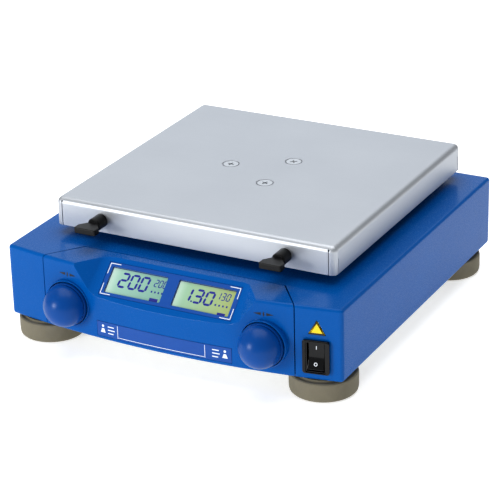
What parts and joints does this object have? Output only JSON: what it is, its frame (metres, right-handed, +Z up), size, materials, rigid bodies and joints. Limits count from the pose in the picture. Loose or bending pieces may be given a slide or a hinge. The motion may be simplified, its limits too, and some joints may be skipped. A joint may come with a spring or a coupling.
{
  "type": "orbital shaker",
  "caption": "Benchtop orbital shaker: flat metal platform on an eccentric drive, bowed blue case, sloping display pocket, push-turn knobs, rocker switch and round rubber feet.",
  "frame": {"origin": "middle of the bounding box at bench level, under the case", "axes": "+Z up, -Y towards the user and the display, +X to the user's right"},
  "size_m": [0.2726, 0.3004, 0.1001],
  "materials": {
    "housing_blue": "moulded ABS, satin blue with a fine moulded grain",
    "knob_blue": "satin moulded plastic, darker blue",
    "foil_blue": "printed polyester foil, violet blue",
    "lcd_glass": "reflective liquid crystal panel, pale green",
    "foot_rubber": "matt olive-grey rubber",
    "black_plastic": "black moulded plastic, semi-gloss",
    "black_paint": "black enamel",
    "brushed_tray": "fine bead-blasted and clear anodised sheet",
    "bright_steel": "turned or plated steel",
    "zinc_steel": "zinc-plated sheet",
    "cast_aluminium": "cast and machined aluminium",
    "belt_rubber": "matt black rubber",
    "circuit_board": "green solder resist"
  },
  "bodies": {
    "root": {"housing_shell": "housing_blue", "front_panel": "housing_blue", "base_plate": "zinc_steel", "foot_front_left": "foot_rubber", "foot_front_right": "foot_rubber", "foot_rear_left": "foot_rubber", "foot_rear_right": "foot_rubber", "foot_screw_front_left": "bright_steel", "foot_screw_front_right": "bright_steel", "foot_screw_rear_left": "bright_steel", "foot_screw_rear_right": "bright_steel", "display_foil": "foil_blue", "lcd_left": "lcd_glass", "lcd_right": "lcd_glass", "display_board": "circuit_board", "label_strip": "foil_blue", "encoder_left": "black_plastic", "encoder_right": "black_plastic", "switch_body": "black_plastic", "mains_inlet": "black_plastic", "main_bearing_housing": "cast_aluminium", "main_bearing_lower": "bright_steel", "main_bearing_upper": "bright_steel", "guide_post_1": "cast_aluminium", "guide_post_2": "cast_aluminium", "guide_post_3": "cast_aluminium", "motor_can": "black_paint", "drive_belt": "belt_rubber", "power_board": "circuit_board", "control_board": "circuit_board", "transformer": "black_plastic"},
    "drive": {"eccentric_shaft": "bright_steel", "drive_pulley": "cast_aluminium", "counterweight": "bright_steel"},
    "table": {"eccentric_bearing": "bright_steel", "guide_bearing_1": "bright_steel", "guide_bearing_2": "bright_steel", "guide_bearing_3": "bright_steel", "carrier_plate": "cast_aluminium", "table_hub": "cast_aluminium", "platform_tray": "brushed_tray", "platform_screw_1": "bright_steel", "platform_screw_2": "bright_steel", "platform_screw_3": "bright_steel"},
    "crank_1": {"guide_crank_1": "bright_steel"},
    "crank_2": {"guide_crank_2": "bright_steel"},
    "crank_3": {"guide_crank_3": "bright_steel"},
    "motor": {"motor_rotor": "bright_steel", "motor_pulley": "cast_aluminium"},
    "push_left": {"encoder_plunger_left": "black_plastic"},
    "push_right": {"encoder_plunger_right": "black_plastic"},
    "dial_left": {"knob_left": "knob_blue", "encoder_shaft_left": "bright_steel"},
    "dial_right": {"knob_right": "knob_blue", "encoder_shaft_right": "bright_steel"},
    "rocker": {"switch_rocker": "black_plastic"},
    "lock_left": {"lock_knob_left": "black_plastic", "lock_cam_left": "bright_steel"},
    "lock_right": {"lock_knob_right": "black_plastic", "lock_cam_right": "bright_steel"}
  },
  "joints": [
    {"name": "drive_spin", "type": "hinge", "parent": "root", "child": "drive", "pos_m": [0, 0.0238, 0.04], "axis": [0, 0, 1], "continuous": true},
    {"name": "table_on_eccentric", "type": "hinge", "parent": "drive", "child": "table", "pos_m": [0, 0.0258, 0.061], "axis": [0, 0, 1], "continuous": true},
    {"name": "motor_spin", "type": "hinge", "parent": "root", "child": "motor", "pos_m": [-0.082, 0.1, 0.04], "axis": [0, 0, 1], "continuous": true},
    {"name": "guide_crank_1_spin", "type": "hinge", "parent": "root", "child": "crank_1", "pos_m": [0, 0.0818, 0.035], "axis": [0, 0, 1], "continuous": true},
    {"name": "guide_crank_2_spin", "type": "hinge", "parent": "root", "child": "crank_2", "pos_m": [-0.05023, -0.0052, 0.035], "axis": [0, 0, 1], "continuous": true},
    {"name": "guide_crank_3_spin", "type": "hinge", "parent": "root", "child": "crank_3", "pos_m": [0.05023, -0.0052, 0.035], "axis": [0, 0, 1], "continuous": true},
    {"name": "knob_left_push", "type": "slide", "parent": "root", "child": "push_left", "axis": [0, 1, 0], "range_m": [0, 0.0012], "stiffness_N_per_m": 1500},
    {"name": "knob_left_turn", "type": "hinge", "parent": "push_left", "child": "dial_left", "pos_m": [-0.0791, -0.1345, 0.0397], "axis": [0, -1, 0], "continuous": true},
    {"name": "knob_right_push", "type": "slide", "parent": "root", "child": "push_right", "axis": [0, 1, 0], "range_m": [0, 0.0012], "stiffness_N_per_m": 1500},
    {"name": "knob_right_turn", "type": "hinge", "parent": "push_right", "child": "dial_right", "pos_m": [0.0791, -0.1345, 0.0397], "axis": [0, -1, 0], "continuous": true},
    {"name": "rocker_tip", "type": "hinge", "parent": "root", "child": "rocker", "pos_m": [0.11627, -0.12135, 0.035], "axis": [0.9863, 0.1648, 0], "range_deg": [0, 20]},
    {"name": "lock_left_turn", "type": "hinge", "parent": "table", "child": "lock_left", "pos_m": [-0.07475, -0.0862, 0.0883], "axis": [0, -1, 0], "range_deg": [0, 90]},
    {"name": "lock_right_turn", "type": "hinge", "parent": "table", "child": "lock_right", "pos_m": [0.07475, -0.0862, 0.0883], "axis": [0, -1, 0], "range_deg": [0, 90]}
  ],
  "couplings": [
    {"joint": "table_on_eccentric", "follows": "drive_spin", "ratio": -1},
    {"joint": "motor_spin", "follows": "drive_spin", "ratio": 3},
    {"joint": "guide_crank_1_spin", "follows": "drive_spin", "ratio": 1},
    {"joint": "guide_crank_2_spin", "follows": "drive_spin", "ratio": 1},
    {"joint": "guide_crank_3_spin", "follows": "drive_spin", "ratio": 1}
  ]
}
